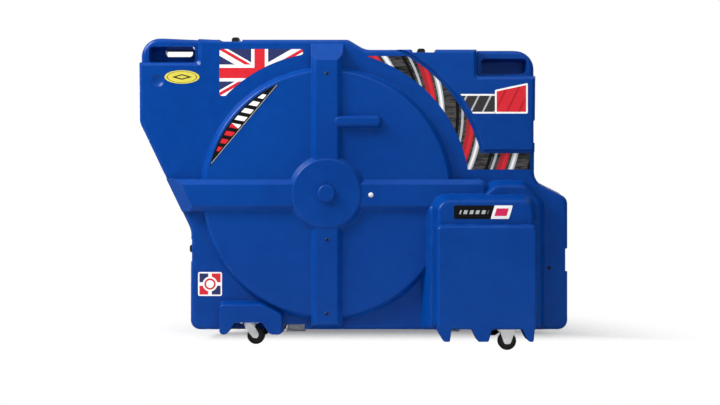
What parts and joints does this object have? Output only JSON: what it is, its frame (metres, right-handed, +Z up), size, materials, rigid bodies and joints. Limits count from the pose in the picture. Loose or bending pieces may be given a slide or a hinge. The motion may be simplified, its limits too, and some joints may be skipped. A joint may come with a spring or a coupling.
{
  "type": "bike travel case",
  "caption": "Hard two-part travel case for a bicycle: moulded halves hinged along the bottom, turn latches, wheel drum with cross bars, deep pod, carrying handles and casters.",
  "frame": {"origin": "on the floor, below the middle of the case's bounding box", "axes": "+X along the case to the right as the lid is seen from the front, +Y from the lid to the base, +Z up"},
  "size_m": [1.243, 0.376, 0.891],
  "materials": {
    "shell": "satin",
    "seal": "matte",
    "zinc": "satin",
    "black_metal": "satin",
    "black_plastic": "matte",
    "tyre": "matte",
    "tube": "satin",
    "soft_rubber": "matte",
    "foam": "matte",
    "webbing": "matte"
  },
  "bodies": {
    "base": {"base_shell": "shell", "rim_seal": "seal", "base_hinge_leaves": "zinc", "hinge_pins": "zinc", "hinge_rivets_base": "zinc", "latch_plates": "black_metal", "latch_rivets_base": "zinc", "swivel_plate_base": "zinc", "kingpin_base": "zinc", "rigid_fork_base": "zinc", "caster_axle_base_right": "zinc", "caster_screws_base": "zinc", "crush_pole": "tube", "pole_socket": "black_plastic", "pole_bumper": "soft_rubber", "base_foam": "foam", "frame_straps_base": "webbing", "buckles_base": "black_plastic", "strap_rivets_base": "black_metal"},
    "lid": {"lid_shell": "shell", "lid_hinge_leaves": "zinc", "hinge_rivets_lid": "zinc", "latch_keepers": "black_metal", "latch_rivets_lid": "zinc", "swivel_plate_lid": "zinc", "kingpin_lid": "zinc", "rigid_fork_lid": "zinc", "caster_axle_lid_right": "zinc", "caster_screws_lid": "zinc", "hub_pad": "soft_rubber", "lid_foam": "foam", "wheel_straps_lid": "webbing", "buckles_lid": "black_plastic", "strap_rivets_lid": "black_metal", "hub_screw": "zinc"},
    "wing_top_left": {"latch_wing_top_left": "black_plastic"},
    "hook_top_left": {"latch_hook_top_left": "black_metal"},
    "wing_top_right": {"latch_wing_top_right": "black_plastic"},
    "hook_top_right": {"latch_hook_top_right": "black_metal"},
    "wing_left": {"latch_wing_left": "black_plastic"},
    "hook_left": {"latch_hook_left": "black_metal"},
    "wing_right_upper": {"latch_wing_right_upper": "black_plastic"},
    "hook_right_upper": {"latch_hook_right_upper": "black_metal"},
    "wing_right_lower": {"latch_wing_right_lower": "black_plastic"},
    "hook_right_lower": {"latch_hook_right_lower": "black_metal"},
    "swivel_lid": {"swivel_fork_lid": "zinc", "caster_axle_lid_left": "zinc"},
    "wheel_lid_left": {"caster_hub_lid_left": "black_plastic", "caster_tyre_lid_left": "tyre"},
    "wheel_lid_right": {"caster_hub_lid_right": "black_plastic", "caster_tyre_lid_right": "tyre"},
    "swivel_base": {"swivel_fork_base": "zinc", "caster_axle_base_left": "zinc"},
    "wheel_base_left": {"caster_hub_base_left": "black_plastic", "caster_tyre_base_left": "tyre"},
    "wheel_base_right": {"caster_hub_base_right": "black_plastic", "caster_tyre_base_right": "tyre"}
  },
  "joints": [
    {"name": "lid_hinge", "type": "hinge", "parent": "base", "child": "lid", "pos_m": [0, 0.038, 0.029], "axis": [1, 0, 0], "range_deg": [0, 110]},
    {"name": "turn_top_left", "type": "hinge", "parent": "base", "child": "wing_top_left", "pos_m": [-0.348, 0.062, 0.861], "axis": [0, 0, 1], "range_deg": [0, 180]},
    {"name": "draw_top_left", "type": "slide", "parent": "base", "child": "hook_top_left", "axis": [0, 1, 0], "range_m": [0, 0.005]},
    {"name": "turn_top_right", "type": "hinge", "parent": "base", "child": "wing_top_right", "pos_m": [0.2, 0.062, 0.828], "axis": [0, 0, 1], "range_deg": [0, 180]},
    {"name": "draw_top_right", "type": "slide", "parent": "base", "child": "hook_top_right", "axis": [0, 1, 0], "range_m": [0, 0.005]},
    {"name": "turn_left", "type": "hinge", "parent": "base", "child": "wing_left", "pos_m": [-0.459, 0.062, 0.267], "axis": [-1, 0, 0], "range_deg": [0, 180]},
    {"name": "draw_left", "type": "slide", "parent": "base", "child": "hook_left", "axis": [0, 1, 0], "range_m": [0, 0.005]},
    {"name": "turn_right_upper", "type": "hinge", "parent": "base", "child": "wing_right_upper", "pos_m": [0.511, 0.062, 0.604], "axis": [1, 0, 0], "range_deg": [0, 180]},
    {"name": "draw_right_upper", "type": "slide", "parent": "base", "child": "hook_right_upper", "axis": [0, 1, 0], "range_m": [0, 0.005]},
    {"name": "turn_right_lower", "type": "hinge", "parent": "base", "child": "wing_right_lower", "pos_m": [0.603, 0.062, 0.24], "axis": [1, 0, 0], "range_deg": [0, 180]},
    {"name": "draw_right_lower", "type": "slide", "parent": "base", "child": "hook_right_lower", "axis": [0, 1, 0], "range_m": [0, 0.005]},
    {"name": "swivel_lid", "type": "hinge", "parent": "lid", "child": "swivel_lid", "pos_m": [-0.295, -0.05, 0.056], "axis": [0, 0, 1], "continuous": true},
    {"name": "roll_lid_left", "type": "hinge", "parent": "swivel_lid", "child": "wheel_lid_left", "pos_m": [-0.277, -0.05, 0.025], "axis": [0, 1, 0], "continuous": true},
    {"name": "roll_lid_right", "type": "hinge", "parent": "lid", "child": "wheel_lid_right", "pos_m": [0.421, -0.16, 0.025], "axis": [0, 1, 0], "continuous": true},
    {"name": "swivel_base", "type": "hinge", "parent": "base", "child": "swivel_base", "pos_m": [-0.295, 0.126, 0.056], "axis": [0, 0, 1], "continuous": true},
    {"name": "roll_base_left", "type": "hinge", "parent": "swivel_base", "child": "wheel_base_left", "pos_m": [-0.277, 0.126, 0.025], "axis": [0, 1, 0], "continuous": true},
    {"name": "roll_base_right", "type": "hinge", "parent": "base", "child": "wheel_base_right", "pos_m": [0.421, 0.126, 0.025], "axis": [0, 1, 0], "continuous": true}
  ],
  "couplings": [
    {"joint": "draw_top_left", "follows": "turn_top_left", "m_per_rad": 0.0015915},
    {"joint": "draw_top_right", "follows": "turn_top_right", "m_per_rad": 0.0015915},
    {"joint": "draw_left", "follows": "turn_left", "m_per_rad": 0.0015915},
    {"joint": "draw_right_upper", "follows": "turn_right_upper", "m_per_rad": 0.0015915},
    {"joint": "draw_right_lower", "follows": "turn_right_lower", "m_per_rad": 0.0015915}
  ]
}
